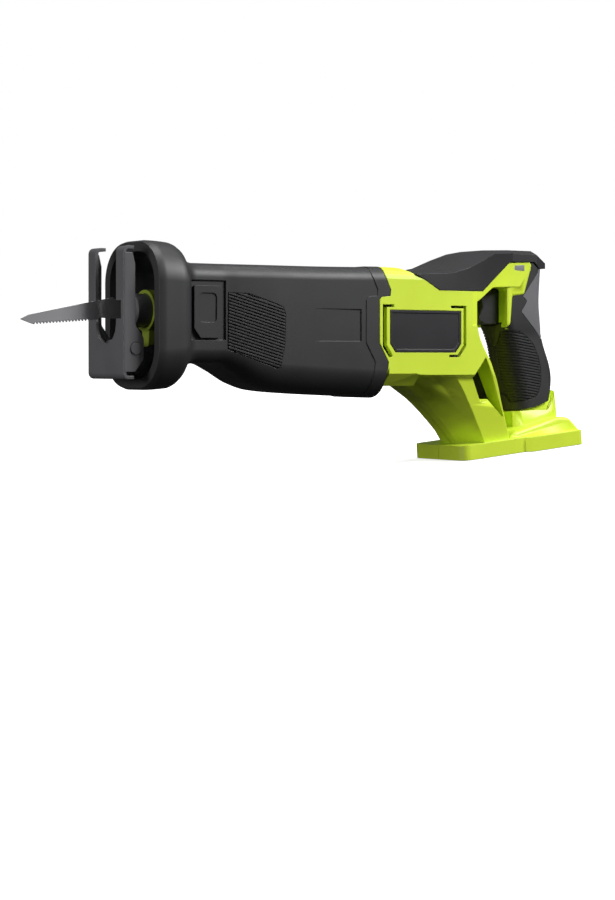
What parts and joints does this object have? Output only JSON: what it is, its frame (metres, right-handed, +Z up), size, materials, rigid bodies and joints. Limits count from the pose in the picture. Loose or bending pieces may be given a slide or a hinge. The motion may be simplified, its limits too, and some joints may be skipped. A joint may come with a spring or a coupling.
{
  "type": "reciprocating saw",
  "caption": "Cordless reciprocating saw with an open hand grip, tilting slotted shoe, plunger drive, blade clamp, trigger with lock-off button and a battery socket in its foot.",
  "frame": {"origin": "bottom centre of the bounding box, on the plane of the battery foot", "axes": "+X back along the tool from the blade to the handle, +Y to the tool's right, +Z up, square to the battery foot; the stroke axis leans down to the rear by 5.1 degrees"},
  "size_m": [0.4561, 0.076, 0.1785],
  "materials": {
    "lime_plastic": "moulded lime green plastic with a fine satin texture",
    "charcoal_rubber": "charcoal overmould, satin",
    "grey_rubber": "grey overmould, satin",
    "black_plastic": "black moulded plastic",
    "grey_plastic": "grey moulded plastic",
    "black_steel": "black coated pressed steel",
    "bright_steel": "ground and machined steel",
    "cast_aluminium": "as cast",
    "sintered_bronze": "oil-filled sintered bronze",
    "terminal_copper": "bright contact metal",
    "circuit_board": "potted circuit board"
  },
  "bodies": {
    "tool_body": {"housing_left": "lime_plastic", "housing_right": "lime_plastic", "boot": "charcoal_rubber", "boot_pad_left": "charcoal_rubber", "boot_pad_right": "charcoal_rubber", "top_cover": "charcoal_rubber", "grip_left": "charcoal_rubber", "grip_right": "charcoal_rubber", "grip_pad_left": "charcoal_rubber", "grip_pad_right": "charcoal_rubber", "rear_pad": "grey_rubber", "nameplate": "black_plastic", "switch_box": "black_plastic", "controller": "circuit_board", "terminal_block": "black_plastic", "terminal_left": "terminal_copper", "terminal_right": "terminal_copper", "gear_case": "cast_aluminium", "plunger_bush_front": "sintered_bronze", "plunger_bush_rear": "sintered_bronze", "gear_bearing": "bright_steel", "stator": "black_steel", "sensor_board": "circuit_board", "motor_plate": "cast_aluminium", "motor_bearing_front": "bright_steel", "motor_bearing_rear": "bright_steel", "housing_screw_1": "bright_steel", "housing_screw_2": "bright_steel", "housing_screw_3": "bright_steel", "housing_screw_4": "bright_steel", "housing_screw_5": "bright_steel", "housing_screw_6": "bright_steel"},
    "saw_carrier": {"plunger": "bright_steel", "yoke": "bright_steel", "clamp_collar": "black_steel", "blade": "bright_steel"},
    "clamp_lever": {"clamp_lever": "lime_plastic"},
    "shoe_slide": {"shoe_bracket": "bright_steel", "shoe_pin": "bright_steel"},
    "shoe": {"shoe": "black_steel"},
    "shoe_lever": {"shoe_lever": "black_plastic"},
    "motor_rotor": {"motor_shaft": "bright_steel", "pinion": "bright_steel", "fan": "black_plastic", "rotor": "bright_steel"},
    "crown_gear": {"drive_gear": "bright_steel", "crank_pin": "bright_steel"},
    "trigger": {"trigger": "black_plastic"},
    "lock_button": {"lock_button": "grey_plastic"}
  },
  "joints": [
    {"name": "blade_stroke", "type": "slide", "parent": "tool_body", "child": "saw_carrier", "axis": [0.996, 0, -0.0889], "range_m": [-0.0111, 0.0111]},
    {"name": "clamp_release", "type": "hinge", "parent": "saw_carrier", "child": "clamp_lever", "pos_m": [-0.12814, 0, 0.13031], "axis": [0.996, 0, -0.0889], "range_deg": [0, 50], "stiffness_Nm_per_rad": 0.05, "springref_deg": -17.19},
    {"name": "shoe_depth", "type": "slide", "parent": "tool_body", "child": "shoe_slide", "axis": [-0.996, 0, 0.0889], "range_m": [0, 0.02]},
    {"name": "shoe_tilt", "type": "hinge", "parent": "shoe_slide", "child": "shoe", "pos_m": [-0.15685, 0, 0.10677], "axis": [0, 1, 0], "range_deg": [-22, 5]},
    {"name": "shoe_release", "type": "hinge", "parent": "tool_body", "child": "shoe_lever", "pos_m": [-0.09874, -0.025, 0.14476], "axis": [-0.996, 0, 0.0889], "range_deg": [0, 70]},
    {"name": "motor_spin", "type": "hinge", "parent": "tool_body", "child": "motor_rotor", "pos_m": [0.05678, 0, 0.09875], "axis": [0.996, 0, -0.0889], "continuous": true},
    {"name": "gear_spin", "type": "hinge", "parent": "tool_body", "child": "crown_gear", "pos_m": [-0.02678, 0, 0.09617], "axis": [0.0889, 0, 0.996], "continuous": true},
    {"name": "trigger_pull", "type": "slide", "parent": "tool_body", "child": "trigger", "axis": [0.996, 0, -0.0889], "range_m": [0, 0.0075], "stiffness_N_per_m": 600, "springref_m": -0.004},
    {"name": "lock_push", "type": "slide", "parent": "tool_body", "child": "lock_button", "axis": [0, 1, 0], "range_m": [-0.003, 0.003]}
  ],
  "couplings": [
    {"joint": "gear_spin", "follows": "motor_spin", "ratio": 0.25}
  ]
}
